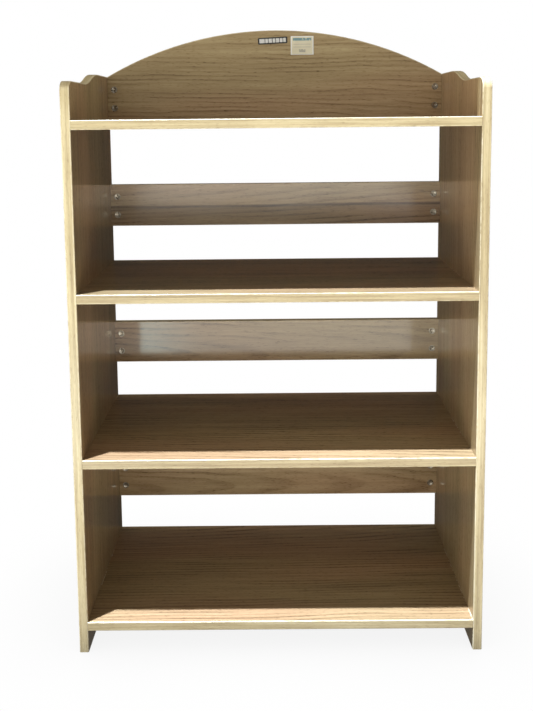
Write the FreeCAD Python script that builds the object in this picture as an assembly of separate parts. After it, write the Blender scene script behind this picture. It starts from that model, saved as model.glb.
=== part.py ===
import FreeCAD, Part
import math
import os

# Open book stand of wood-grain board, in millimetres.
# X runs to the right as one faces it, Y to the rear, Z up.
# The origin is on the floor, at the middle of the width and of the depth.

# Overall sizes
width = 800.0
depth = 400.0
foot_gap = 45.0  # floor to the underside of the bottom shelf
clear_heights = (316.0, 309.0, 312.0)  # compartments, from the lowest up

# Boards
board = 18.0
front_band = 2.0  # thick banding on the edges that are seen and touched
rear_band = 0.8  # thin banding on the rear edges and the rails

# Top outline of the side panels, above the top shelf
ledge_rise = 73.0
plateau_rise = 97.0
nose_radius = 20.0
ogee_start = 136.0  # behind the front edge
ogee_run = 140.0

# Arched board on the top shelf, level at its ends with the side panels
arch_crown_rise = 198.0

# Rails across the back, one in each compartment, from the lowest up
rail_height = 96.0
rail_lifts = (88.0, 86.0, 84.0)  # above the shelf below

# Cam fittings
nut_radius = 7.4
nut_sunk = 0.3  # below the board's face
nut_setback = 15.0  # from the board's end to the nut's centre
nut_wall = 2.0
nut_roof = 3.2
nut_chamfer = 0.5
dish_radius = 5.6  # shallow hollow in the nut's face, round the cross slot
dish_depth = 0.7
cross_length = 6.4
cross_width = 1.3
cross_depth = 1.8
head_radius = 3.1
neck_radius = 1.6
shank_radius = 3.4
thread_radius = 2.9
thread_length = 9.0
insert_radius = 5.0
insert_length = 11.0

# Wooden dowels
dowel_radius = 4.0
dowel_in_panel = 10.0
dowel_in_board = 20.0
dowel_chamfer = 1.0

# Where the fittings sit
shelf_nut_inset = 48.0  # from the front and rear edges
shelf_dowel_inset = 112.0
rail_nut_first = 26.0  # above the board's lower edge
rail_nut_spacing = 42.0

# Plate and label on the arched board
plate_size = (68.0, 17.0)
plate_thickness = 0.8
plate_corner = 2.0
plate_centre = (-3.0, 23.0)  # x, and drop from the arch's crown
label_size = (52.0, 42.0)
label_thickness = 0.3
label_centre = (64.0, 34.5)

# Clearances
slip = 0.1  # around round pieces
end_room = 1.0  # past the end of a dowel or bolt
shank_gap = 0.6  # between a bolt's shank and its nut
head_gap = 0.6  # between a bolt's head and the floor of the nut's bore
band_land = 0.3  # flat left on a thick band's side, next to its rounding
overcut = 1.0  # how far a cutting shape runs past what it cuts
same_place = 0.01  # how close two places are to count as one

# Worked out from the sizes above
arris = front_band - band_land  # rounding of the thick banding's edges
half_width = width / 2
half_depth = depth / 2
inner_half = half_width - board
bottom_z = foot_gap
lower_z = bottom_z + board + clear_heights[0]
upper_z = lower_z + board + clear_heights[1]
top_z = upper_z + board + clear_heights[2]
deck_z = top_z + board  # the top shelf's upper face
crown_z = deck_z + arch_crown_rise
shelf_undersides = {
    "bottom_shelf": bottom_z,
    "lower_shelf": lower_z,
    "upper_shelf": upper_z,
    "top_shelf": top_z,
}
rail_undersides = {
    "lower_back_rail": bottom_z + board + rail_lifts[0],
    "middle_back_rail": lower_z + board + rail_lifts[1],
    "upper_back_rail": upper_z + board + rail_lifts[2],
}
back_undersides = dict(rail_undersides, arched_back_board=deck_z)
back_front_y = half_depth - board  # front face of the rails and the arched board
back_mid_y = half_depth - board / 2
dowel_rail_rise = rail_nut_first + rail_nut_spacing / 2
bolt_reach = nut_setback + head_radius
shank_length = nut_setback - nut_radius - shank_gap
channel_radius = max(shank_radius, head_radius) + slip
nut_height = board / 2 - nut_sunk + head_radius + head_gap
nodes = {}


def vector(x, y, z):
    return FreeCAD.Vector(x, y, z)


def block(x0, x1, y0, y1, z0, z1):
    return Part.makeBox(x1 - x0, y1 - y0, z1 - z0, vector(x0, y0, z0))


def beam(centre, directions, lengths):
    """Box around a centre, with a length along each of three directions that run along X, Y or Z."""
    low = vector(*centre)
    high = vector(*centre)
    for direction, length in zip(directions, lengths):
        reach = vector(*(abs(part) * length / 2 for part in direction))
        low = low - reach
        high = high + reach
    return block(low.x, high.x, low.y, high.y, low.z, high.z)


def rod(start, direction, radius, length):
    return Part.makeCylinder(radius, length, start, direction)


def line(a, b):
    return Part.makeLine(a, b)


def middle_of(edge):
    return edge.valueAt((edge.FirstParameter + edge.LastParameter) / 2)


def same(a, b):
    return abs(a - b) < same_place


def arc(centre_y, centre_z, radius, start, end):
    """Arc in the plane x = 0, from the start angle to the end angle, in degrees."""
    points = []
    for angle in (start, (start + end) / 2, end):
        turn = math.radians(angle)
        points.append(vector(0, centre_y + radius * math.cos(turn), centre_z + radius * math.sin(turn)))
    return Part.Arc(*points).toShape()


# Side panels

def side_outline(front_inset, rear_inset):
    """Face of a side panel's outline in the plane x = 0, with its front and top edges moved in by
    front_inset and its rear edge by rear_inset."""
    ledge = deck_z + ledge_rise
    plateau = deck_z + plateau_rise
    rise = plateau_rise - ledge_rise
    ogee_radius = (ogee_run ** 2 + rise ** 2) / (4 * rise)
    turn = math.degrees(math.asin(ogee_run / 2 / ogee_radius))
    front = -half_depth
    rear = half_depth - rear_inset
    ogee_front = front + ogee_start
    ogee_rear = ogee_front + ogee_run
    nose = arc(front + nose_radius, ledge - nose_radius, nose_radius - front_inset, 180, 90)
    hollow = arc(ogee_front, ledge + ogee_radius, ogee_radius + front_inset, -90, turn - 90)
    crest = arc(ogee_rear, plateau - ogee_radius, ogee_radius - front_inset, 90 + turn, 90)
    corners = [
        vector(0, front + front_inset, 0),
        vector(0, front + front_inset, ledge - nose_radius),
        vector(0, front + nose_radius, ledge - front_inset),
        vector(0, ogee_front, ledge - front_inset),
        vector(0, ogee_rear, plateau - front_inset),
        vector(0, rear, plateau - front_inset),
        vector(0, rear, 0),
    ]
    edges = [
        line(corners[0], corners[1]),
        nose,
        line(corners[2], corners[3]),
        hollow,
        crest,
        line(corners[4], corners[5]),
        line(corners[5], corners[6]),
        line(corners[6], corners[0]),
    ]
    return Part.Face(Part.Wire(edges))


def side_solid(front_inset, rear_inset, left_x):
    slab = side_outline(front_inset, rear_inset).extrude(vector(board, 0, 0))
    slab.translate(vector(left_x, 0, 0))
    return slab


def round_outer_arrises(band, left_x):
    """Rounds the banding's long edges that lie on the outer outline."""
    outline = side_outline(0, 0).OuterWire
    chosen = []
    for edge in band.Edges:
        middle = middle_of(edge)
        on_face = same(middle.x, left_x) or same(middle.x, left_x + board)
        bottom_or_rear = same(middle.z, 0) or same(middle.y, half_depth)
        flattened = Part.Vertex(0, middle.y, middle.z)
        if on_face and not bottom_or_rear and same(outline.distToShape(flattened)[0], 0):
            chosen.append(edge)
    return band.makeFillet(arris, chosen)


def side_panel(side, left_x):
    core = side_solid(front_band, rear_band, left_x)
    whole = side_solid(0, 0, left_x)
    edging = whole.cut(side_solid(front_band, 0, left_x))
    rear_strip = side_solid(front_band, 0, left_x).cut(core)
    nodes["side_panel_" + side] = core
    nodes["side_panel_" + side + "_front_band"] = round_outer_arrises(edging.Solids[0], left_x)
    nodes["side_panel_" + side + "_rear_band"] = rear_strip


# Shelves, rails and the arched board

def round_long_edges(strip, y, heights):
    chosen = []
    for edge in strip.Edges:
        middle = middle_of(edge)
        if same(middle.x, 0) and same(middle.y, y) and any(same(middle.z, z) for z in heights):
            chosen.append(edge)
    return strip.makeFillet(arris, chosen)


def shelf(name, z):
    front = -half_depth
    core = block(-inner_half, inner_half, front + front_band, half_depth - rear_band, z, z + board)
    nose = block(-inner_half, inner_half, front, front + front_band, z, z + board)
    tail = block(-inner_half, inner_half, half_depth - rear_band, half_depth, z, z + board)
    nodes[name] = core
    nodes[name + "_front_band"] = round_long_edges(nose, front, (z, z + board))
    nodes[name + "_rear_band"] = tail


def rail(name, z):
    top = z + rail_height
    core = block(-inner_half, inner_half, back_front_y, half_depth, z + rear_band, top - rear_band)
    lower = block(-inner_half, inner_half, back_front_y, half_depth, z, z + rear_band)
    upper = block(-inner_half, inner_half, back_front_y, half_depth, top - rear_band, top)
    nodes[name] = core
    nodes[name + "_edge_bands"] = Part.makeCompound([lower, upper])


def arch_solid(inset):
    """The arched board with its curved edge moved in by inset."""
    sagitta = arch_crown_rise - plateau_rise
    radius = (inner_half ** 2 + sagitta ** 2) / (2 * sagitta)
    centre_z = crown_z - radius
    end_z = centre_z + math.sqrt((radius - inset) ** 2 - inner_half ** 2)
    crown = vector(0, back_front_y, centre_z + radius - inset)
    left_foot = vector(-inner_half, back_front_y, deck_z)
    right_foot = vector(inner_half, back_front_y, deck_z)
    left_end = vector(-inner_half, back_front_y, end_z)
    right_end = vector(inner_half, back_front_y, end_z)
    edges = [
        line(left_foot, left_end),
        Part.Arc(left_end, crown, right_end).toShape(),
        line(right_end, right_foot),
        line(right_foot, left_foot),
    ]
    return Part.Face(Part.Wire(edges)).extrude(vector(0, board, 0))


def arched_back_board():
    core = arch_solid(front_band)
    band = arch_solid(0).cut(core).Solids[0]
    chosen = []
    for edge in band.Edges:
        middle = middle_of(edge)
        if same(middle.x, 0) and same(middle.z, crown_z):
            chosen.append(edge)
    nodes["arched_back_board"] = core
    nodes["arched_back_board_edge_band"] = band.makeFillet(arris, chosen)


# Fittings. Each joint is given by the point where the board's end meets the panel, the direction
# out of the panel into the board, and the direction from the board's middle to the nut's face.

def cam_nut(point, inward, face):
    """Round cam: dished face with a cross slot, hollow inside and open underneath, with a slot for the
    bolt's neck and a window for its head."""
    centre = point + inward * nut_setback
    top = centre + face * (board / 2 - nut_sunk)
    shoulder = nut_height - nut_chamfer
    body = rod(top - face * nut_height, face, nut_radius, shoulder)
    tip = Part.makeCone(nut_radius, nut_radius - nut_chamfer, nut_chamfer, top - face * nut_chamfer, face)
    body = body.fuse(tip)
    ball_radius = (dish_radius ** 2 + dish_depth ** 2) / (2 * dish_depth)
    dish = Part.makeSphere(ball_radius, top + face * (ball_radius - dish_depth))
    cavity = rod(top - face * nut_height, face, nut_radius - nut_wall, nut_height - nut_roof)
    slot_half = neck_radius + 2 * slip
    ring = rod(centre - face * slot_half, face, nut_radius + overcut, 2 * slot_half)
    side = face.cross(inward)
    reach = 2 * (nut_radius + overcut)
    half_turn = beam(centre + side * (reach / 2), (side, inward, face), (reach, reach, reach))
    window = rod(centre, side, head_radius + 2 * slip, reach)
    neck_way = rod(centre, -inward, slot_half, reach)
    cuts = [dish, cavity, ring.common(half_turn), window, neck_way]
    for length, breadth in ((cross_length, cross_width), (cross_width, cross_length)):
        cuts.append(beam(top, (inward, side, face), (length, breadth, 2 * cross_depth)))
    return body.cut(cuts)


def nut_bore(point, inward, face):
    centre = point + inward * nut_setback
    deep = nut_height + nut_sunk
    mouth = centre + face * (board / 2)
    return rod(mouth - face * deep, face, nut_radius + slip, deep)


def bolt(point, inward):
    thread = rod(point - inward * thread_length, inward, thread_radius, thread_length)
    shank = rod(point, inward, shank_radius, shank_length)
    neck = rod(point + inward * shank_length, inward, neck_radius, nut_setback - shank_length)
    ball = Part.makeSphere(head_radius, point + inward * nut_setback)
    return thread.fuse([shank, neck, ball]).removeSplitter()


def bolt_insert(point, inward):
    sleeve = rod(point - inward * insert_length, inward, insert_radius, insert_length)
    bore_start = point - inward * (thread_length + end_room)
    return sleeve.cut(rod(bore_start, inward, thread_radius + slip, insert_length))


def dowel(point, inward):
    start = point - inward * dowel_in_panel
    pin = rod(start, inward, dowel_radius, dowel_in_panel + dowel_in_board)
    ends = [edge for edge in pin.Edges if edge.Curve.TypeId == "Part::GeomCircle"]
    return pin.makeChamfer(dowel_chamfer, ends)


def shelf_joints(z):
    """Points of a shelf's nuts and dowels along its end, at height z."""
    nuts = [(y, z) for y in (-half_depth + shelf_nut_inset, half_depth - shelf_nut_inset)]
    pins = [(y, z) for y in (-half_depth + shelf_dowel_inset, half_depth - shelf_dowel_inset)]
    return nuts, pins


def back_joints(z):
    """Points of a rail's or the arched board's nuts and dowel, above its lower edge at height z."""
    nuts = [(back_mid_y, z + rail_nut_first + i * rail_nut_spacing) for i in range(2)]
    return nuts, [(back_mid_y, z + dowel_rail_rise)]


def fit_board(name, joints, face, kinds):
    """Drills one board and both side panels for its fittings, and adds them to the lists in kinds."""
    nuts, pins = joints
    for side, sign in (("left", -1), ("right", 1)):
        panel = "side_panel_" + side
        inward = vector(-sign, 0, 0)
        for y, z in nuts:
            point = vector(sign * inner_half, y, z)
            channel = rod(point, inward, channel_radius, bolt_reach + end_room)
            socket = rod(point - inward * insert_length, inward, insert_radius + slip, insert_length)
            nodes[name] = nodes[name].cut([nut_bore(point, inward, face), channel])
            nodes[panel] = nodes[panel].cut(socket)
            kinds["nuts"].append(cam_nut(point, inward, face))
            kinds["bolts"].append(bolt(point, inward))
            kinds["inserts"].append(bolt_insert(point, inward))
        for y, z in pins:
            point = vector(sign * inner_half, y, z)
            hole = rod(point, inward, dowel_radius + slip, dowel_in_board + end_room)
            socket = rod(point - inward * dowel_in_panel, inward, dowel_radius + slip, dowel_in_panel)
            nodes[name] = nodes[name].cut(hole)
            nodes[panel] = nodes[panel].cut(socket)
            kinds["dowels"].append(dowel(point, inward))


def fittings():
    shelf_kinds = {"nuts": [], "bolts": [], "inserts": [], "dowels": []}
    back_kinds = {"nuts": [], "bolts": [], "inserts": [], "dowels": []}
    for name, z in shelf_undersides.items():
        fit_board(name, shelf_joints(z + board / 2), vector(0, 0, -1), shelf_kinds)
    for name, z in back_undersides.items():
        fit_board(name, back_joints(z), vector(0, -1, 0), back_kinds)
    for place_name, kinds in (("shelf", shelf_kinds), ("back", back_kinds)):
        nodes[place_name + "_cam_nuts"] = Part.makeCompound(kinds["nuts"])
        nodes[place_name + "_cam_bolts"] = Part.makeCompound(kinds["bolts"])
        nodes[place_name + "_bolt_inserts"] = Part.makeCompound(kinds["inserts"])
        nodes[place_name + "_dowels"] = Part.makeCompound(kinds["dowels"])


# Plate and label

def plaque(size, thickness, centre, corner):
    """Thin sheet on the arched board's front face, centred at x and a drop from the crown."""
    x0 = centre[0] - size[0] / 2
    z0 = crown_z - centre[1] - size[1] / 2
    sheet = block(x0, x0 + size[0], back_front_y - thickness, back_front_y, z0, z0 + size[1])
    if corner:
        rounded = [edge for edge in sheet.Edges if not same(edge.Vertexes[0].Y, edge.Vertexes[1].Y)]
        sheet = sheet.makeFillet(corner, rounded)
    return sheet


def main():
    side_panel("left", -half_width)
    side_panel("right", inner_half)
    for name, z in shelf_undersides.items():
        shelf(name, z)
    for name, z in rail_undersides.items():
        rail(name, z)
    arched_back_board()
    fittings()
    nodes["nameplate"] = plaque(plate_size, plate_thickness, plate_centre, plate_corner)
    nodes["paper_label"] = plaque(label_size, label_thickness, label_centre, 0)
    os.makedirs("parts", exist_ok=True)
    for name, shape in nodes.items():
        shape.exportStep(os.path.join("parts", name + ".step"))
        print(name, len(shape.Solids), "solids", round(shape.Volume), "mm3", shape.isValid())


main()
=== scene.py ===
import math

import bmesh
import bpy
from mathutils import Matrix, Vector


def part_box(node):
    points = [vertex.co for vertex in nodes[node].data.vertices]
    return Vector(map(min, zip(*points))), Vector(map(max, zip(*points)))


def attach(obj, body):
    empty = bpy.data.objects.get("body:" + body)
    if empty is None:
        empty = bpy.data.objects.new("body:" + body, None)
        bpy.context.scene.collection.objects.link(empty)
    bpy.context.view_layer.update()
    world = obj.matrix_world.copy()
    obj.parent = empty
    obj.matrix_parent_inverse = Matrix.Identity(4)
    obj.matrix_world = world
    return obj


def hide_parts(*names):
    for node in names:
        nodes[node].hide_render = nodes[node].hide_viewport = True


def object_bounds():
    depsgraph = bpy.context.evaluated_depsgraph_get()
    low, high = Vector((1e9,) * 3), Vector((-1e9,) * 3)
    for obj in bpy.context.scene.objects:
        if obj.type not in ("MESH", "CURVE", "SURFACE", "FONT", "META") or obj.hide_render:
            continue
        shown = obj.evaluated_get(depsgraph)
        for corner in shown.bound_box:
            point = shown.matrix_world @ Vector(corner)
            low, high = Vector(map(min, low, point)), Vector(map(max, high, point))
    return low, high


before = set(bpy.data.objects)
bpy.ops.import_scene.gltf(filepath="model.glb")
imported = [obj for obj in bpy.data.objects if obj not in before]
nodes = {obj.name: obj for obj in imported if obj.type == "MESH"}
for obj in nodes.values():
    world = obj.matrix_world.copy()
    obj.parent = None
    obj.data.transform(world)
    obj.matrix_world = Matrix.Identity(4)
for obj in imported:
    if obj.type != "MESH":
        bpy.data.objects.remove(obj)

# Open book stand in wood-grain board. X is to the right as one faces it, Y to the rear, Z up, in metres.

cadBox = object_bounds()
scene = bpy.context.scene
scene.view_settings.view_transform = "Standard"

axisNumber = {"X": 0, "Y": 1, "Z": 2}


# Shader values written as sums

class Wire:  # one shader value
    def __init__(self, recipe, socket):
        self.recipe = recipe
        self.socket = socket

    def other(self, output):  # another output of the same node
        return Wire(self.recipe, self.socket.node.outputs[output])

    def __add__(self, value):
        return self.recipe.maths("ADD", self, value)

    def __radd__(self, value):
        return self.recipe.maths("ADD", value, self)

    def __sub__(self, value):
        return self.recipe.maths("SUBTRACT", self, value)

    def __rsub__(self, value):
        return self.recipe.maths("SUBTRACT", value, self)

    def __mul__(self, value):
        return self.recipe.maths("MULTIPLY", self, value)

    def __rmul__(self, value):
        return self.recipe.maths("MULTIPLY", value, self)

    def __truediv__(self, value):
        return self.recipe.maths("DIVIDE", self, value)

    def __rtruediv__(self, value):
        return self.recipe.maths("DIVIDE", value, self)

    def __abs__(self):
        return self.recipe.maths("ABSOLUTE", self)


class Recipe:  # the nodes of one finish, or of the surroundings
    def __init__(self, owner):
        owner.use_nodes = True
        self.owner = owner
        self.tree = owner.node_tree
        self.tree.nodes.clear()

    def node(self, kind, settings=None, inputs=None, output=0):
        made = self.tree.nodes.new(kind)
        for name, value in (settings or {}).items():
            if name == "stops":
                setStops(made.color_ramp, value)
            else:
                setattr(made, name, value)
        for name, value in (inputs or {}).items():
            self.feed(made.inputs[name], value)
        return Wire(self, made.outputs[output]) if made.outputs else None

    def feed(self, socket, value):
        if isinstance(value, Wire):
            self.tree.links.new(value.socket, socket)
        else:
            socket.default_value = value

    def maths(self, operation, *values):
        return self.node("ShaderNodeMath", {"operation": operation}, dict(enumerate(values)))

    def clamp(self, value):
        return self.node("ShaderNodeClamp", None, {0: value})

    def step(self, value, start, end):  # smooth change from 0 at start to 1 at end
        limits = {"Value": value, "From Min": start, "From Max": end}
        return self.node("ShaderNodeMapRange", {"interpolation_type": "SMOOTHSTEP"}, limits)

    def place(self):
        return self.node("ShaderNodeTexCoord", output="Object")

    def axes(self, vector):  # the three parts of a vector
        split = self.node("ShaderNodeSeparateXYZ", None, {0: vector})
        return [split, split.other("Y"), split.other("Z")]

    def stretch(self, vector, scales, shift=(0, 0, 0)):
        scaled = self.node("ShaderNodeVectorMath", {"operation": "MULTIPLY"}, {0: vector, 1: scales})
        return self.node("ShaderNodeVectorMath", {"operation": "ADD"}, {0: scaled, 1: shift})

    def noise(self, vector, detail=2.0, roughness=0.5):
        values = {"Vector": vector, "Scale": 1.0, "Detail": detail, "Roughness": roughness}
        return self.node("ShaderNodeTexNoise", None, values)

    def speckle(self, perMetre, detail, roughness):  # noise that is alike in all directions
        return self.noise(self.stretch(self.place(), (perMetre, perMetre, perMetre)), detail, roughness)

    def ramp(self, value, stops):
        return self.node("ShaderNodeValToRGB", {"stops": stops}, {0: value})

    def blend(self, amount, under, over, kind="MIX"):
        settings = {"data_type": "RGBA", "blend_type": kind, "clamp_factor": True}
        return self.node("ShaderNodeMix", settings, {0: amount, 6: under, 7: over}, 2)

    def bump(self, height, strength, distance):
        values = {"Height": height, "Strength": strength, "Distance": distance}
        return self.node("ShaderNodeBump", None, values)

    def surface(self, shader):
        self.node("ShaderNodeOutputMaterial", None, {"Surface": shader})
        return self.owner


def setStops(colorRamp, stops):
    while len(colorRamp.elements) < len(stops):
        colorRamp.elements.new(0.5)
    for element, (position, colour) in zip(colorRamp.elements, stops):
        element.position = position
        element.color = opaque(colour)


def opaque(colour):
    return (*colour, 1.0)


def newFinish(name):
    return Recipe(bpy.data.materials.new(name))


def dress(name, material):  # gives a CAD piece its finish
    nodes[name].material_slots[0].material = material


def grainNoises(recipe, place, look, lengthwise, seed):
    # gives the look's noises by name, drawn out along the axes named in lengthwise
    shift = tuple(seed * part for part in look["seedShift"])

    def grain(kind):
        along, across, detail, roughness = look["grain"][kind]
        scales = tuple(along if axis in lengthwise else across for axis in "XYZ")
        return recipe.noise(recipe.stretch(place, scales, shift), detail, roughness)

    return grain


def inFromEnds(box, axis, parts):  # distance in from the nearer of a box's two ends on one axis
    number = axisNumber[axis]
    middle = (box[0][number] + box[1][number]) / 2
    reach = (box[1][number] - box[0][number]) / 2
    return reach - abs(parts[number] - middle)


# Wood-grain foil on the boards

foil = {
    "stops": (
        (0.00, (0.078, 0.044, 0.020)),
        (0.30, (0.172, 0.107, 0.052)),
        (0.55, (0.294, 0.196, 0.102)),
        (0.78, (0.410, 0.290, 0.160)),
        (1.00, (0.530, 0.402, 0.242)),
    ),
    "middleTone": 0.64,
    "rosyTint": (1.05, 0.97, 0.92),
    "oliveTint": (0.97, 1.02, 0.93),
    "tintFade": (0.35, 0.65),
    "grain": {  # of each noise: changes per metre along and across the board, detail, roughness
        "sway": (1.6, 5.0, 2.0, 0.5),
        "ripple": (11.0, 45.0, 2.0, 0.5),
        "lineGap": (4.0, 34.0, 2.0, 0.5),
        "broad": (0.8, 10.0, 2.0, 0.5),
        "streak": (2.6, 85.0, 3.0, 0.6),
        "fibre": (16.0, 460.0, 2.0, 0.7),
        "pore": (85.0, 560.0, 1.0, 0.5),
        "tint": (1.4, 7.0, 1.0, 0.5),
    },
    "seedShift": (1.7, 2.3, 3.1),
    "broadContrast": 0.34,
    "streakContrast": 0.42,
    "fibreContrast": 0.34,
    "lineContrast": 0.24,
    "poreContrast": 0.30,
    "ringsPerMetre": 105.0,
    "ringRipple": 0.6,
    "lineRise": (0.42, 0.82),  # shares of a growth ring over which its dark line comes, and goes
    "lineFall": (0.90, 1.00),
    "lineGaps": (0.34, 0.66),
    "taper": 0.060,  # slope of the growth rings along the board, which draws the arches
    "wander": 0.044,
    "rippleWidth": 0.005,
    "poreSize": (0.58, 0.70),
    "poreOffLine": 0.55,  # strength of the pores between the dark lines
    "roughness": 0.38,
    "darkRoughness": 0.10,
    "poreRoughness": 0.15,
    "sheenLevel": 0.24,
    "lacquer": 0.90,
    "lacquerRoughness": 0.09,
    "scuffColour": (0.62, 0.52, 0.38),
    "scuffRoughness": 0.22,
    "scuffDepth": 0.6,
    "toneHeight": 0.5,
    "bump": (0.25, 0.0004),
}


def woodFoil(name, along, across, look, scuffs):
    recipe = newFinish("foil_" + name)
    place = recipe.place()
    parts = recipe.axes(place)
    u = parts[axisNumber[along]]
    v = parts[axisNumber[across]]
    grain = grainNoises(recipe, place, foil, along, look["seed"])
    heart = look["heart"]  # of the log: its place along the board and across it, and its depth

    sway = grain("sway") - 0.5
    ripple = grain("ripple") - 0.5
    acrossHeart = v - heart[1] + sway * foil["wander"] + ripple * foil["rippleWidth"]
    depth = (u - heart[0]) * foil["taper"] + heart[2]
    radius = recipe.maths("SQRT", acrossHeart * acrossHeart + depth * depth)
    ring = recipe.maths("FRACT", radius * foil["ringsPerMetre"] + ripple * foil["ringRipple"])
    line = recipe.step(ring, *foil["lineRise"]) * (1 - recipe.step(ring, *foil["lineFall"]))
    line = line * recipe.step(grain("lineGap"), *foil["lineGaps"])
    pore = recipe.step(grain("pore"), *foil["poreSize"])
    pore = pore * (foil["poreOffLine"] + line * (1 - foil["poreOffLine"]))
    value = (
        foil["middleTone"] + look["tone"]
        + (grain("broad") - 0.5) * foil["broadContrast"]
        + (grain("streak") - 0.5) * foil["streakContrast"]
        + (grain("fibre") - 0.5) * foil["fibreContrast"]
        - line * foil["lineContrast"]
        - pore * foil["poreContrast"]
    )
    sheenEdge = look.get("sheenEdgeLine")
    if sheenEdge:  # painted reflection: a dark line along the board, with paler colour above it standing in for the bright floor that its lacquer mirrors
        level = v - sheenEdge["at"] + sway * sheenEdge["sway"]
        value = value + (recipe.step(level, *sheenEdge["fade"]) - 0.5) * sheenEdge["paler"]
        value = value - (1 - recipe.step(abs(level), *sheenEdge["halfWidth"])) * sheenEdge["darker"]
    value = recipe.clamp(value)

    patch = recipe.step(grain("tint"), *foil["tintFade"])
    tint = recipe.blend(patch, opaque(foil["oliveTint"]), opaque(foil["rosyTint"]))
    colour = recipe.blend(1.0, recipe.ramp(value, foil["stops"]), tint, "MULTIPLY")
    paleMarks = scuffs(recipe, parts)
    colour = recipe.blend(paleMarks, colour, opaque(foil["scuffColour"]))
    rough = foil["roughness"] + (1 - value) * foil["darkRoughness"] + pore * foil["poreRoughness"]
    height = value * foil["toneHeight"] - pore - paleMarks * foil["scuffDepth"]
    shader = recipe.node("ShaderNodeBsdfPrincipled", None, {
        "Base Color": colour,
        "Roughness": recipe.clamp(rough + paleMarks * foil["scuffRoughness"]),
        "Specular IOR Level": foil["sheenLevel"],
        "Coat Weight": foil["lacquer"],
        "Coat Roughness": foil["lacquerRoughness"],
        "Normal": recipe.bump(height, *foil["bump"]),
    })
    dress(name, recipe.surface(shader))


# Chipped and rubbed foil, next to the joints and the edges of each board

shelfChips = {
    "width": 0.0022,
    "fullShare": 0.35,  # share of the width over which they are at their strongest
    "rag": (90.0, 3.0, 0.7),  # of each noise: changes per metre, detail, roughness
    "ragSize": (0.46, 0.56),
    "run": (7.0, 1.0, 0.5),
    "runGaps": (0.42, 0.60),
    "strength": 0.75,
}
sideRubbing = {"width": 0.012, "rag": (55.0, 4.0, 0.7), "ragSize": (0.60, 0.72), "strength": 0.6}
backRubbing = {"width": 0.006, "rag": (55.0, 4.0, 0.7), "ragSize": (0.62, 0.74), "strength": 0.6}


def jointChips(box, axis, look):  # pale chips where a board's ends meet the side panels
    def mask(recipe, parts):
        full = look["width"] * look["fullShare"]
        near = 1 - recipe.step(inFromEnds(box, axis, parts), full, look["width"])
        rag = recipe.step(recipe.speckle(*look["rag"]), *look["ragSize"])
        run = recipe.step(recipe.speckle(*look["run"]), *look["runGaps"])
        return near * rag * run * look["strength"]

    return mask


def edgeRubbing(box, axis, look):  # light rubbing that fades in from one pair of edges
    def mask(recipe, parts):
        near = 1 - recipe.step(inFromEnds(box, axis, parts), 0.0, look["width"])
        return near * recipe.step(recipe.speckle(*look["rag"]), *look["ragSize"]) * look["strength"]

    return mask


sidePanels = {
    "side_panel_left": {"heart": (0.35, 0.30, 0.120), "seed": 1.0, "tone": 0.0},
    # painted light: the right panel's lighter tone stands in for the light from the left that falls on its
    # inner face
    "side_panel_right": {"heart": (0.75, -0.28, 0.140), "seed": 4.0, "tone": 0.14},
}
for name, look in sidePanels.items():
    woodFoil(name, "Z", "Y", look, edgeRubbing(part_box(name), "Y", sideRubbing))
print("side panels finished")

# bandShadeTone is painted shade: the middle shelves' front bands are darker where less light falls on them
shelves = {
    "bottom_shelf": {"heart": (-0.20, 0.26, 0.120), "seed": 7.0, "tone": -0.10, "bandShadeTone": 0.0},
    "lower_shelf": {"heart": (0.15, -0.27, 0.110), "seed": 11.0, "tone": -0.06, "bandShadeTone": -0.18},
    "upper_shelf": {"heart": (-0.05, 0.30, 0.130), "seed": 14.0, "tone": -0.09, "bandShadeTone": -0.16},
    "top_shelf": {"heart": (0.25, -0.24, 0.110), "seed": 18.0, "tone": 0.02, "bandShadeTone": -0.02},
}
for name, look in shelves.items():
    woodFoil(name, "X", "Y", look, jointChips(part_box(name), "X", shelfChips))
print("shelves finished")

# Painted reflection on the upper back rail: paler colour above a dark wavy line, copying the bright far
# floor mirrored in its upper half
sheenEdgeLine = {
    "at": 0.854,
    "sway": 0.016,
    "fade": (-0.004, 0.004),
    "paler": 0.20,
    "halfWidth": (0.0008, 0.0050),
    "darker": 0.42,
}
backBoards = {
    "lower_back_rail": {"heart": (0.10, 0.17, 0.060), "seed": 21.0, "tone": 0.16},
    "middle_back_rail": {"heart": (0.05, 0.50, 0.070), "seed": 25.0, "tone": 0.04},
    "upper_back_rail": {
        "heart": (-0.02, 0.95, 0.090), "seed": 29.0, "tone": 0.02, "sheenEdgeLine": sheenEdgeLine,
    },
    "arched_back_board": {"heart": (-0.30, 0.86, 0.120), "seed": 33.0, "tone": 0.15},
}
for name, look in backBoards.items():
    woodFoil(name, "X", "Z", look, edgeRubbing(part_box(name), "Z", backRubbing))
print("back boards finished")


# Edge banding, printed with a paler grain that runs along each edge

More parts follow.
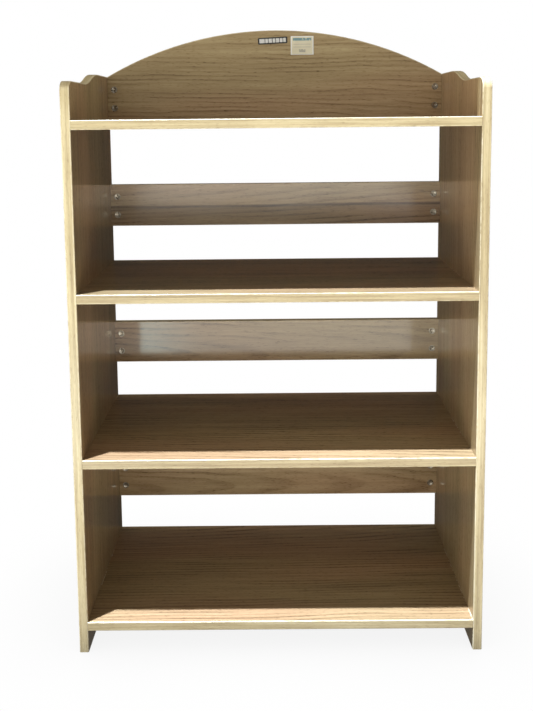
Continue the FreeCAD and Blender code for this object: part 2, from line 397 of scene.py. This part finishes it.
banding = {
    "stops": (
        (0.00, (0.220, 0.155, 0.075)),
        (0.35, (0.365, 0.276, 0.143)),
        (0.65, (0.500, 0.400, 0.220)),
        (1.00, (0.630, 0.540, 0.340)),
    ),
    "middleTone": 0.55,
    "grain": {  # of each noise: changes per metre along and across the band, detail, roughness
        "broad": (2.0, 130.0, 1.0, 0.5),
        "streak": (7.0, 330.0, 2.0, 0.6),
        "speck": (90.0, 800.0, 1.0, 0.5),
        "cloud": (9.0, 20.0, 2.0, 0.5),
        "wear": (60.0, 200.0, 3.0, 0.7),
    },
    "seedShift": (1.3, 1.9, 2.7),
    "broadContrast": 0.80,
    "streakContrast": 0.85,
    "cloudContrast": 0.30,
    "speckContrast": 0.20,
    "speckSize": (0.56, 0.74),
    # pale line along each arris: partly rubbing and partly a painted highlight
    "arrisWearAndHighlightColour": (0.66, 0.58, 0.40),
    "arrisWearAndHighlight": 0.7,
    "wearAndHighlightFade": (0.6, 1.5),  # in roundings, in from the arris
    "wearAndHighlightGaps": (0.30, 0.62),
    "roughness": 0.34,
    "speckRoughness": 0.12,
    "wearRoughness": 0.16,
    "cloudRoughness": 0.1,
    "sheenLevel": 0.30,
    "lacquer": 0.25,
    "lacquerRoughness": 0.16,
    "speckDepth": 0.6,
    "bump": (0.18, 0.0003),
    "rounding": 0.0017,  # radius of the thick bands' arrises
    "thinRounding": 0.0006,
    "rearTone": -0.12,
    "railTone": -0.15,
    "archTone": -0.05,
}


def edgeBanding(name, lengthwise, arrisAxis, seed, rounding, tone=0.0):
    # a band that runs along the lengthwise axes, with its two arrises at its ends on the arris axis
    look = banding
    recipe = newFinish("banding_" + name)
    place = recipe.place()
    grain = grainNoises(recipe, place, look, lengthwise, seed)
    speck = recipe.step(grain("speck"), *look["speckSize"])
    cloud = grain("cloud") - 0.5
    value = recipe.clamp(
        look["middleTone"] + tone
        + (grain("broad") - 0.5) * look["broadContrast"]
        + (grain("streak") - 0.5) * look["streakContrast"]
        + cloud * look["cloudContrast"]
        - speck * look["speckContrast"]
    )
    # Painted highlight and wear: a pale line along each rounded arris, broken up by the wear noise, partly
    # real rubbing and partly a painted highlight where the arris catches the light
    inFromArris = inFromEnds(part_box(name), arrisAxis, recipe.axes(place))
    start, end = (share * rounding for share in look["wearAndHighlightFade"])
    paleMarks = (1 - recipe.step(inFromArris, start, end)) * recipe.step(grain("wear"), *look["wearAndHighlightGaps"])
    colour = recipe.ramp(value, look["stops"])
    rough = (
        look["roughness"]
        + speck * look["speckRoughness"]
        + paleMarks * look["wearRoughness"]
        + cloud * look["cloudRoughness"]
    )
    shader = recipe.node("ShaderNodeBsdfPrincipled", None, {
        "Base Color": recipe.blend(paleMarks * look["arrisWearAndHighlight"], colour, opaque(look["arrisWearAndHighlightColour"])),
        "Roughness": recipe.clamp(rough),
        "Specular IOR Level": look["sheenLevel"],
        "Coat Weight": look["lacquer"],
        "Coat Roughness": look["lacquerRoughness"],
        "Normal": recipe.bump(value - speck * look["speckDepth"], *look["bump"]),
    })
    dress(name, recipe.surface(shader))


thick = banding["rounding"]
thin = banding["thinRounding"]
rails = [name for name in backBoards if name.endswith("rail")]
for seed, name in enumerate(sidePanels):  # every band has a seed of its own, for its own stretch of grain
    edgeBanding(name + "_front_band", "YZ", "X", 2.0 + seed, thick)
    edgeBanding(name + "_rear_band", "YZ", "X", 5.0 + seed, thin, banding["rearTone"])
for seed, name in enumerate(shelves):
    # each shelf's front band takes its painted shade
    edgeBanding(name + "_front_band", "X", "Z", 8.0 + seed, thick, shelves[name]["bandShadeTone"])
    edgeBanding(name + "_rear_band", "X", "Z", 13.0 + seed, thin, banding["rearTone"])
for seed, name in enumerate(rails):
    edgeBanding(name + "_edge_bands", "X", "Y", 21.0 + seed, thin, banding["railTone"])
edgeBanding("arched_back_board_edge_band", "X", "Y", 20.0, thick, banding["archTone"])
print("edge banding finished")


# Fittings: cam nuts, bolts, inserts and dowels

castZinc = {
    "stops": ((0.0, (0.16, 0.14, 0.11)), (0.5, (0.40, 0.36, 0.29)), (1.0, (0.66, 0.61, 0.52))),
    "roughness": 0.29,
    "metallic": 0.95,
    "grain": (1400.0, 3.0, 0.6),  # of each noise: changes per metre, detail, roughness
    "stain": (260.0, 2.0, 0.5),
}
platedSteel = {
    "stops": ((0.0, (0.34, 0.33, 0.30)), (0.5, (0.55, 0.54, 0.50)), (1.0, (0.72, 0.71, 0.68))),
    "roughness": 0.28,
    "metallic": 1.0,
    "grain": (1800.0, 3.0, 0.6),
    "stain": (320.0, 2.0, 0.5),
}
nylon = {
    "stops": ((0.0, (0.55, 0.52, 0.45)), (0.5, (0.68, 0.66, 0.58)), (1.0, (0.78, 0.76, 0.69))),
    "roughness": 0.48,
    "metallic": 0.0,
    "grain": (900.0, 3.0, 0.6),
    "stain": (150.0, 2.0, 0.5),
}
surfaceVariation = {  # shared by the metal and nylon fittings
    "grainContrast": 0.9,
    "stainContrast": 0.7,
    "grainRoughness": 0.2,
    "stainRoughness": 0.3,
    "bump": (0.2, 0.0002),
}
beech = {
    "stops": ((0.0, (0.30, 0.17, 0.09)), (0.5, (0.54, 0.36, 0.21)), (1.0, (0.70, 0.52, 0.34))),
    "middleTone": 0.55,
    "fibreScales": (18.0, 900.0, 900.0),
    "fibreContrast": 0.9,
    "fleckScales": (160.0, 1500.0, 1500.0),
    "fleckSize": (0.6, 0.7),
    "fleckContrast": 0.3,
    "roughness": 0.62,
    "fibreRoughness": 0.2,
    "fleckRoughness": 0.1,
    "bump": (0.3, 0.0003),
}


def fittingFinish(name, look):
    recipe = newFinish(name)
    vary = surfaceVariation
    grain = recipe.speckle(*look["grain"]) - 0.5
    stain = recipe.speckle(*look["stain"]) - 0.5
    value = 0.5 + grain * vary["grainContrast"] + stain * vary["stainContrast"]
    rough = look["roughness"] + grain * vary["grainRoughness"] + stain * vary["stainRoughness"]
    shader = recipe.node("ShaderNodeBsdfPrincipled", None, {
        "Base Color": recipe.ramp(recipe.clamp(value), look["stops"]),
        "Roughness": recipe.clamp(rough),
        "Metallic": look["metallic"],
        "Normal": recipe.bump(grain, *vary["bump"]),
    })
    return recipe.surface(shader)


def beechFinish(name, look):
    recipe = newFinish(name)
    place = recipe.place()
    fibre = recipe.noise(recipe.stretch(place, look["fibreScales"]), detail=3.0, roughness=0.6) - 0.5
    fleck = recipe.noise(recipe.stretch(place, look["fleckScales"]), detail=1.0)
    fleck = recipe.step(fleck, *look["fleckSize"])
    value = look["middleTone"] + fibre * look["fibreContrast"] - fleck * look["fleckContrast"]
    rough = look["roughness"] + fibre * look["fibreRoughness"] + fleck * look["fleckRoughness"]
    shader = recipe.node("ShaderNodeBsdfPrincipled", None, {
        "Base Color": recipe.ramp(recipe.clamp(value), look["stops"]),
        "Roughness": recipe.clamp(rough),
        "Normal": recipe.bump(fibre - fleck, *look["bump"]),
    })
    return recipe.surface(shader)


fittings = {
    "cam_nuts": fittingFinish("cast_zinc", castZinc),
    "cam_bolts": fittingFinish("plated_steel", platedSteel),
    "bolt_inserts": fittingFinish("natural_nylon", nylon),
    "dowels": beechFinish("bare_beech", beech),
}
for kind, material in fittings.items():
    dress("shelf_" + kind, material)
    dress("back_" + kind, material)
print("fittings finished")


# Nameplate: a dark plate with a raised rim and plain raised pale blocks

plateLook = {
    "tilt": 2.6,  # degrees, with its left end lower
    "widthShare": 0.985,  # shares of the CAD plate's size, which leave room for the tilt
    "heightShare": 0.86,
    "corner": 0.0024,
    "rim": 0.0011,
    "rimRelief": 0.00024,
    "base": 0.0004,
    "relief": 0.0004,
    "blockHeight": 0.0092,
    "blockWidths": (0.0120, 0.0062, 0.0078, 0.0062, 0.0078, 0.0062, 0.0062),
    "blockGap": 0.0013,
    "blockCorner": 0.0009,
    "blockSoftening": 0.0001,
    "blockSink": 0.00005,
    "weld": 0.000005,
    "darkStops": ((0.0, (0.010, 0.010, 0.011)), (0.5, (0.020, 0.020, 0.022)), (1.0, (0.055, 0.055, 0.058))),
    "paleStops": ((0.0, (0.52, 0.52, 0.50)), (0.5, (0.74, 0.74, 0.72)), (1.0, (0.86, 0.86, 0.84))),
    "mottle": (300.0, 3.0, 0.6),  # changes per metre, detail, roughness
    "mottleContrast": 1.1,
    "scratchScales": (160.0, 60.0, 1900.0),
    "scratchSize": (0.66, 0.72),
    "scratchContrast": 0.25,
    "roughness": 0.34,
    "mottleRoughness": 0.3,
    "scratchRoughness": 0.2,
    "lacquer": 0.4,
    "lacquerRoughness": 0.15,
    "bump": (0.12, 0.0002),
}


def newMesh(name, made, materials):
    mesh = bpy.data.meshes.new(name)
    made.to_mesh(mesh)
    made.free()
    piece = bpy.data.objects.new(name, mesh)
    scene.collection.objects.link(piece)
    for material in materials:
        mesh.materials.append(material)
    return piece


def facesFront(face):  # to within about 25 degrees
    return face.is_valid and face.normal.y < -0.9


def roundedSlab(made, centre, size, corner, material):
    # a flat block facing the front, with rounded corners
    cube = bmesh.ops.create_cube(made, size=1.0)["verts"]
    bmesh.ops.scale(made, vec=size, verts=cube)
    bmesh.ops.translate(made, vec=centre, verts=cube)
    upright = [
        edge for edge in {edge for vert in cube for edge in vert.link_edges}
        if abs(edge.verts[0].co.y - edge.verts[1].co.y) > size[1] / 2
    ]
    rounded = bmesh.ops.bevel(
        made, geom=upright, offset=corner, affect="EDGES", segments=5, profile=0.5, material=-1,
    )
    faces = {face for vert in rounded["verts"] for face in vert.link_faces}
    faces |= {face for vert in cube if vert.is_valid for face in vert.link_faces}
    for face in faces:
        face.material_index = material
    made.normal_update()
    return list(faces)


def softenFront(made, faces, amount):
    rim = {edge for face in faces if facesFront(face) for edge in face.edges}
    bmesh.ops.bevel(
        made, geom=list(rim), offset=amount, affect="EDGES", segments=2, profile=0.5, material=-1,
    )


def makeNameplate():
    look = plateLook
    lower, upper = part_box("nameplate")
    centre = (lower + upper) / 2
    size = upper - lower
    back = upper.y
    base = look["base"]
    made = bmesh.new()
    plateSize = (size.x * look["widthShare"], base, size.z * look["heightShare"])
    slab = roundedSlab(made, (centre.x, back - base / 2, centre.z), plateSize, look["corner"], 0)
    front = [face for face in slab if facesFront(face)]
    bmesh.ops.inset_region(made, faces=front, thickness=look["rim"], depth=0.0, use_even_offset=True)
    rim = [face for face in made.faces if facesFront(face) and face not in front]
    raised = bmesh.ops.extrude_face_region(made, geom=rim)["geom"]
    lifted = [part for part in raised if isinstance(part, bmesh.types.BMVert)]
    bmesh.ops.translate(made, vec=(0, -look["rimRelief"], 0), verts=lifted)
    bmesh.ops.delete(made, geom=rim, context="FACES")

    x = centre.x - (sum(look["blockWidths"]) + look["blockGap"] * (len(look["blockWidths"]) - 1)) / 2
    blockY = back - base - look["relief"] / 2 + look["blockSink"]
    for width in look["blockWidths"]:
        blockSize = (width, look["relief"], look["blockHeight"])
        block = roundedSlab(made, (x + width / 2, blockY, centre.z), blockSize, look["blockCorner"], 1)
        softenFront(made, block, look["blockSoftening"])
        x += width + look["blockGap"]
    bmesh.ops.remove_doubles(made, verts=made.verts, dist=look["weld"])
    turn = Matrix.Rotation(math.radians(-look["tilt"]), 4, "Y")
    bmesh.ops.rotate(made, cent=centre, matrix=turn, verts=made.verts)
    bmesh.ops.recalc_face_normals(made, faces=made.faces)
    finishes = [plateFinish("plate_dark", look["darkStops"]), plateFinish("plate_pale", look["paleStops"])]
    piece = newMesh("nameplate_relief", made, finishes)
    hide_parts("nameplate")
    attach(piece, "root")


def plateFinish(name, stops):
    look = plateLook
    recipe = newFinish(name)
    mottle = recipe.speckle(*look["mottle"]) - 0.5
    scratch = recipe.noise(recipe.stretch(recipe.place(), look["scratchScales"]), detail=1.0)
    scratch = recipe.step(scratch, *look["scratchSize"])
    value = 0.5 + mottle * look["mottleContrast"] + scratch * look["scratchContrast"]
    rough = look["roughness"] + mottle * look["mottleRoughness"] + scratch * look["scratchRoughness"]
    shader = recipe.node("ShaderNodeBsdfPrincipled", None, {
        "Base Color": recipe.ramp(recipe.clamp(value), stops),
        "Roughness": recipe.clamp(rough),
        "Coat Weight": look["lacquer"],
        "Coat Roughness": look["lacquerRoughness"],
        "Normal": recipe.bump(mottle, *look["bump"]),
    })
    return recipe.surface(shader)


makeNameplate()
print("nameplate made")


# Paper label with a coloured bar and plain rules, one corner lifting

labelLook = {
    "columns": 26,
    "rows": 21,
    "thickness": 0.00018,
    "standOff": 0.00004,
    "liftFrom": 1.62,  # sum of the shares to the right and down, which is 2 at the lifting corner
    "liftedCorner": 0.0026,
    "ripple": 0.00006,
    "ripplesAcross": 210.0,
    "ripplesDown": 170.0,
    "cream": ((0.0, (0.66, 0.60, 0.42)), (0.5, (0.77, 0.72, 0.54)), (1.0, (0.86, 0.82, 0.66))),
    "borderColour": (0.86, 0.86, 0.82),
    "barColour": (0.075, 0.26, 0.33),
    "ruleColour": (0.30, 0.29, 0.26),
    "blockColour": (0.25, 0.25, 0.24),
    "border": (0.05, 0.95),  # shares of the label's width, and of its height from its top
    "barAcross": (0.10, 0.90),
    "barDrop": (0.10, 0.24),
    "ruleAcross": (0.12, 0.88),
    "ruleDrops": ((0.42, 0.445), (0.57, 0.595)),
    "blockAcross": (0.36, 0.64),
    "blockDrop": (0.70, 0.86),
    "softness": 0.012,
    "barStrength": 0.85,
    "ruleStrength": 0.55,
    "blockStrength": 0.6,
    "fibre": (900.0, 3.0, 0.6),  # of each noise: changes per metre, detail, roughness
    "fibreContrast": 0.4,
    "yellowing": (45.0, 2.0, 0.5),
    "yellowContrast": 0.9,
    "inkGrain": (260.0, 2.0, 0.5),
    "inkWear": (0.30, 0.44),
    "roughness": 0.55,
    "fibreRoughness": 0.2,
    "barGloss": 0.12,
    "sheen": 0.08,
    "bump": (0.15, 0.0001),
}


def makeLabel():
    look = labelLook
    lower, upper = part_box("paper_label")
    centre = (lower + upper) / 2
    size = upper - lower
    made = bmesh.new()
    bmesh.ops.create_grid(made, x_segments=look["columns"], y_segments=look["rows"], size=0.5)
    bmesh.ops.scale(made, vec=(size.x, size.z, 1.0), verts=made.verts)
    bmesh.ops.rotate(made, matrix=Matrix.Rotation(math.radians(90), 4, "X"), verts=made.verts)
    bmesh.ops.translate(made, vec=(centre.x, upper.y - look["standOff"], centre.z), verts=made.verts)
    for vert in made.verts:
        share = (vert.co.x - lower.x) / size.x + (upper.z - vert.co.z) / size.z
        lift = max(0.0, share - look["liftFrom"]) / (2 - look["liftFrom"])
        wave = math.sin(vert.co.x * look["ripplesAcross"]) * math.sin(vert.co.z * look["ripplesDown"])
        vert.co.y -= look["ripple"] * (1 + wave) + look["liftedCorner"] * lift ** 2
    bmesh.ops.recalc_face_normals(made, faces=made.faces)
    if sum(face.normal.y for face in made.faces) > 0:
        bmesh.ops.reverse_faces(made, faces=made.faces)
    bmesh.ops.solidify(made, geom=made.faces[:], thickness=look["thickness"])
    bmesh.ops.recalc_face_normals(made, faces=made.faces)
    for face in made.faces:
        face.smooth = abs(face.normal.y) > 0.5
    piece = newMesh("label_sheet", made, [paperFinish("label_paper_print")])
    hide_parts("paper_label")
    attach(piece, "root")


def paperFinish(name):
    look = labelLook
    lower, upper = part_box("paper_label")
    size = upper - lower
    recipe = newFinish(name)
    x, y, z = recipe.axes(recipe.place())
    right = (x - lower.x) / size.x
    drop = (upper.z - z) / size.z
    soft = look["softness"]

    def span(value, start, end):
        begun = recipe.step(value, start - soft, start + soft)
        ended = recipe.step(value, end - soft, end + soft)
        return begun * (1 - ended)

    def field(across, down):
        return span(right, *across) * span(drop, *down)

    def printed(colour, amount, ink):
        return recipe.blend(amount, colour, opaque(look[ink]))

    fibre = recipe.speckle(*look["fibre"]) - 0.5
    yellowed = recipe.speckle(*look["yellowing"]) - 0.5
    kept = recipe.step(recipe.speckle(*look["inkGrain"]), *look["inkWear"])
    value = 0.5 + fibre * look["fibreContrast"] + yellowed * look["yellowContrast"]
    bar = field(look["barAcross"], look["barDrop"])
    block = field(look["blockAcross"], look["blockDrop"])
    colour = recipe.ramp(recipe.clamp(value), look["cream"])
    colour = printed(colour, 1 - field(look["border"], look["border"]), "borderColour")
    colour = printed(colour, bar * kept * look["barStrength"], "barColour")
    for ruleDrop in look["ruleDrops"]:
        rule = field(look["ruleAcross"], ruleDrop)
        colour = printed(colour, rule * look["ruleStrength"], "ruleColour")
    colour = printed(colour, block * kept * look["blockStrength"], "blockColour")
    rough = look["roughness"] + fibre * look["fibreRoughness"] - bar * look["barGloss"]
    shader = recipe.node("ShaderNodeBsdfPrincipled", None, {
        "Base Color": colour,
        "Roughness": recipe.clamp(rough),
        "Sheen Weight": look["sheen"],
        "Normal": recipe.bump(fibre, *look["bump"]),
    })
    return recipe.surface(shader)


makeLabel()
print("label made")


# Floor, light and surroundings

stageLook = {
    "floorSize": 60.0,
    "backdrop": (1.0, 1.0, 1.0),
    "contactReach": 0.30,  # metres over which the floor darkens towards the stand
    "contactShade": 0.12,
    "zoneReach": 16.0,  # metres in front of the stand, over which the zones below are given
    "zoneLight": 4.6,
    "zones": (  # share of the reach, and of the light that the floor throws back there
        (0.000, 0.24),
        (0.035, 0.26),
        (0.070, 0.90),
        (0.140, 0.90),
        (0.240, 0.10),
        (0.495, 0.10),
        (0.505, 1.00),
    ),
    "zoneHalfWidth": 0.70,
    "zoneSpread": 0.10,  # metres of width gained per metre away
    "zoneWander": 3.0,  # metres by which the far zone's edge wanders
    "wanderScales": (0.8, 0.1, 0.0),
    "wanderFrom": (-3.0, -6.0),
    "farFrom": (6.0, 7.5),  # metres away, beyond which the far zone has a left edge of its own
    "farSlant": 0.197,
    "farEdge": (-0.04, 0.10),
    "floorAside": 0.50,
    "floorLeft": 1.70,
    "mirroredAside": 0.40,
    "leftEdge": (-0.42, -0.06),  # where the floor to the left begins, level with the origin
    "leftSlant": 0.13,
    "floorRear": 0.42,
    "mirroredRear": 0.03,  # the darker rear that the lacquer mirrors
    "windowPool": 3.2,  # bright patch to the left that the rails mirror
    "poolLeft": (-1.15, -0.80),
    "poolFar": (-3.2, -2.4),
    "poolNear": (-1.3, -0.9),
    # painted shade: the share of the floor's thrown light that is left under the stand
    "shadeUnderStand": 0.10,
    "underWidth": (0.38, 0.60),
    "underDepth": (0.18, 0.40),
    "frontEdge": (-0.25, 0.10),
    "fillFront": 0.52,
    "fillLeft": 0.60,  # added from the left
    "mirroredFront": 0.15,
    "fillRearLow": 0.12,
    "fillRearHigh": 0.80,
    "rearFade": (-0.4, 0.4),  # direction's Y, from the front light to the rear light
    "highFade": (0.25, 0.75),  # direction's Z, from the low light to the high light
    "leftFade": (-0.8, -0.1),  # direction's X, over which the light from the left ends
    "warmWhite": (1.0, 0.985, 0.93),
    "coolTint": (0.86, 1.0, 0.95),
    "sunTravel": (47.0, 42.0, -311.0),  # direction in which the light falls
    "sunStrength": 13.0,
    "sunAngle": 1.2,
    "sunColour": (0.88, 1.03, 1.32),
    "screenHeight": 0.50,  # of the screen that keeps the sun off the top, above the stand
    "screenSize": (1.6, 0.9),
    "sunlitDepth": 0.005,  # how far the sun still reaches over the top shelf, at its left end
    "screenTurn": 2.4,  # degrees, which lets the sun reach further at the right
    "screenGlow": 1.25,
}


def byRay(recipe, spread, mirrored):  # one level for matt light, another for mirrored light
    glossy = recipe.node("ShaderNodeLightPath", output="Is Glossy Ray")
    return spread + glossy * (mirrored - spread)


def floorFinish():
    look = stageLook
    recipe = newFinish("pale_floor")
    place = recipe.place()
    x, y = recipe.axes(place)[:2]
    clear = recipe.node("ShaderNodeAmbientOcclusion", None, {"Distance": look["contactReach"]}, 1)
    shown = {"Color": opaque(look["backdrop"]), "Strength": 1 - (1 - clear) * look["contactShade"]}
    seen = recipe.node("ShaderNodeEmission", None, shown)

    wander = recipe.noise(recipe.stretch(place, look["wanderScales"])) - 0.5
    away = cadBox[0][1] - y + wander * look["zoneWander"] * recipe.step(y, *look["wanderFrom"])
    stops = [(share, (light, light, light)) for share, light in look["zones"]]
    zone = recipe.axes(recipe.ramp(recipe.clamp(away / look["zoneReach"]), stops))[0] * look["zoneLight"]
    leftward = 1 - recipe.step(x - y * look["leftSlant"], *look["leftEdge"])
    side = look["floorAside"] + leftward * (look["floorLeft"] - look["floorAside"])
    side = byRay(recipe, side, look["mirroredAside"])
    aside = abs(x) - away * look["zoneSpread"]
    inside = 1 - recipe.step(aside, look["zoneHalfWidth"], look["zoneHalfWidth"] * 2)
    leftOfFar = recipe.step(y * look["farSlant"] - x, *look["farEdge"]) * recipe.step(away, *look["farFrom"])
    zone = side + inside * (1 - leftOfFar) * (zone - side)
    pool = leftward * recipe.step(x, *look["poolLeft"])
    pool = pool * recipe.step(y, *look["poolFar"]) * (1 - recipe.step(y, *look["poolNear"]))
    # Painted shade: the light that the floor throws drops under the stand, where the stand would shade it
    under = (1 - recipe.step(abs(x), *look["underWidth"])) * (1 - recipe.step(abs(y), *look["underDepth"]))
    zone = (zone + pool * look["windowPool"]) * (1 - under * (1 - look["shadeUnderStand"]))
    behind = byRay(recipe, look["floorRear"], look["mirroredRear"])
    level = behind + (1 - recipe.step(y, *look["frontEdge"])) * (zone - behind)
    tint = recipe.blend(pool, opaque(look["warmWhite"]), opaque(look["coolTint"]))
    thrown = recipe.node("ShaderNodeEmission", None, {"Color": tint, "Strength": level})
    path = recipe.node("ShaderNodeLightPath", output="Is Camera Ray")
    return recipe.surface(recipe.node("ShaderNodeMixShader", None, {0: path, 1: thrown, 2: seen}))


def makeFloor():
    made = bmesh.new()
    bmesh.ops.create_grid(made, x_segments=1, y_segments=1, size=stageLook["floorSize"] / 2)
    newMesh("floor", made, [floorFinish()])


def makeSurroundings():
    look = stageLook
    world = bpy.data.worlds.new("studio")
    scene.world = world
    recipe = Recipe(world)
    x, y, z = recipe.axes(recipe.node("ShaderNodeTexCoord", output="Generated"))
    rearward = recipe.step(y, *look["rearFade"])
    high = recipe.step(z, *look["highFade"])
    rear = look["fillRearLow"] + high * (look["fillRearHigh"] - look["fillRearLow"])
    front = look["fillFront"] + (1 - recipe.step(x, *look["leftFade"])) * look["fillLeft"]
    spread = front + rearward * (rear - front)
    mirrored = look["mirroredFront"] + rearward * (look["mirroredRear"] - look["mirroredFront"])
    thrown = {"Color": opaque(look["warmWhite"]), "Strength": byRay(recipe, spread, mirrored)}
    fill = recipe.node("ShaderNodeBackground", None, thrown)
    seen = recipe.node("ShaderNodeBackground", None, {"Color": opaque(look["backdrop"]), "Strength": 1.0})
    path = recipe.node("ShaderNodeLightPath", output="Is Camera Ray")
    both = recipe.node("ShaderNodeMixShader", None, {0: path, 1: fill, 2: seen})
    recipe.node("ShaderNodeOutputWorld", None, {"Surface": both})


def makeSun():
    look = stageLook
    sun = bpy.data.lights.new("key", "SUN")
    sun.energy = look["sunStrength"]
    sun.angle = math.radians(look["sunAngle"])
    sun.color = look["sunColour"]
    sunObject = bpy.data.objects.new("key", sun)
    sunObject.rotation_mode = "QUATERNION"
    sunObject.rotation_quaternion = Vector(look["sunTravel"]).to_track_quat("-Z", "Y")
    scene.collection.objects.link(sunObject)


def makeScreen():  # a glowing screen above the stand, which the camera and the lacquer don't see
    look = stageLook
    travel = Vector(look["sunTravel"])
    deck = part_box("top_shelf")[1].z
    top = cadBox[1][2] + look["screenHeight"]
    rise = (top - deck) / travel.z
    front = cadBox[0][1] + look["sunlitDepth"] + rise * travel.y
    width, depth = look["screenSize"]
    made = bmesh.new()
    bmesh.ops.create_grid(made, x_segments=1, y_segments=1, size=0.5)
    bmesh.ops.scale(made, vec=(width, depth, 1.0), verts=made.verts)
    bmesh.ops.translate(made, vec=(rise * travel.x, front + depth / 2, top), verts=made.verts)
    pivot = (cadBox[0][0] + rise * travel.x, front, top)
    turn = Matrix.Rotation(math.radians(look["screenTurn"]), 4, "Z")
    bmesh.ops.rotate(made, cent=pivot, matrix=turn, verts=made.verts)
    recipe = newFinish("screen_glow")
    level = {"Color": opaque(look["warmWhite"]), "Strength": look["screenGlow"]}
    screen = newMesh("screen", made, [recipe.surface(recipe.node("ShaderNodeEmission", None, level))])
    screen.visible_camera = False
    screen.visible_glossy = False


makeFloor()
makeSurroundings()
makeSun()
makeScreen()
print("stage made")


# Camera, in front of the stand at the height of its top shelf

cameraLook = {
    "eye": (-0.012, -1.790, 1.056),
    "heading": -0.26,  # degrees to the right
    "pitch": -6.47,
    "roll": 0.58,
    "focalLength": 43.2,  # on a 36 mm frame
    "frameWidth": 36.0,
    "shiftUp": -0.199,
    "nearest": 0.05,
}


def makeCamera():
    look = cameraLook
    data = bpy.data.cameras.new("camera")
    data.lens = look["focalLength"]
    data.sensor_width = look["frameWidth"]
    data.shift_y = look["shiftUp"]
    data.clip_start = look["nearest"]
    camera = bpy.data.objects.new("camera", data)
    turn = Matrix.Rotation(math.radians(-look["heading"]), 4, "Z")
    lean = Matrix.Rotation(math.radians(90 + look["pitch"]), 4, "X")
    roll = Matrix.Rotation(math.radians(-look["roll"]), 4, "Z")
    camera.matrix_world = Matrix.Translation(look["eye"]) @ turn @ lean @ roll
    scene.collection.objects.link(camera)
    scene.camera = camera


makeCamera()
print("camera made")
